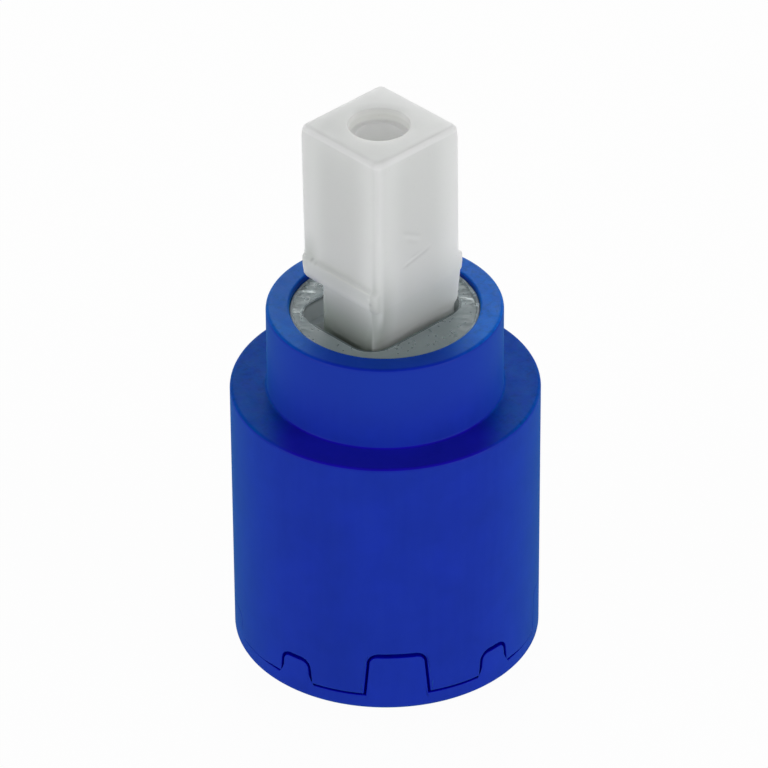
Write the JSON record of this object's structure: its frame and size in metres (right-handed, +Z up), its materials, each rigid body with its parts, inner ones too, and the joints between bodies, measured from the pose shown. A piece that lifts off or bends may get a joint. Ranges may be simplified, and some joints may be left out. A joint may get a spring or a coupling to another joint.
{
  "type": "faucet cartridge",
  "caption": "Single-lever ceramic-disc mixer cartridge with a blue stepped body, a snap-in base with ports, a turning carrier and a square tilting lever",
  "frame": {"origin": "on the cartridge's axis, in the plane of the base's seating face", "axes": "+Z up the cartridge's axis from the base to the lever; the lever tips towards -X to open; its pin lies along Y; the inlets are on the +X side"},
  "size_m": [0.025, 0.025, 0.0495],
  "materials": {
    "body_plastic": "blue moulded plastic, satin",
    "base_plastic": "blue moulded plastic, satin",
    "carrier_plastic": "grey moulded plastic, greased",
    "lever_plastic": "natural white moulded plastic, slightly translucent",
    "driver_plastic": "off-white moulded plastic",
    "silencer_plastic": "off-white moulded plastic",
    "slide_plastic": "white low-friction plastic",
    "disc_ceramic": "lapped alumina",
    "pin_steel": "ground stainless steel",
    "seal_rubber": "black rubber"
  },
  "bodies": {
    "valve_body": {"housing": "body_plastic", "base": "base_plastic", "fixed_disc": "disc_ceramic", "base_seal_hot": "seal_rubber", "base_seal_cold": "seal_rubber", "base_seal_outlet": "seal_rubber", "disc_seal_hot": "seal_rubber", "disc_seal_cold": "seal_rubber", "disc_seal_outlet": "seal_rubber"},
    "carrier": {"lever_carrier": "carrier_plastic", "lever_pin": "pin_steel", "thrust_ring": "slide_plastic", "carrier_o_ring": "seal_rubber"},
    "lever": {"lever": "lever_plastic"},
    "driver": {"disc_driver": "driver_plastic", "chamber_seal": "seal_rubber", "silencer": "silencer_plastic", "moving_disc": "disc_ceramic"}
  },
  "joints": [
    {"name": "carrier_turn", "type": "hinge", "parent": "valve_body", "child": "carrier", "pos_m": [0, 0, 0.027], "axis": [0, 0, 1], "range_deg": [-50, 50]},
    {"name": "lever_tilt", "type": "hinge", "parent": "carrier", "child": "lever", "pos_m": [0, 0, 0.0253], "axis": [0, -1, 0], "range_deg": [-4, 21]},
    {"name": "driver_slide", "type": "slide", "parent": "carrier", "child": "driver", "axis": [1, 0, 0], "range_m": [-0.00045, 0.00235]}
  ],
  "couplings": [
    {"joint": "driver_slide", "follows": "lever_tilt", "m_per_rad": 0.0063945}
  ]
}
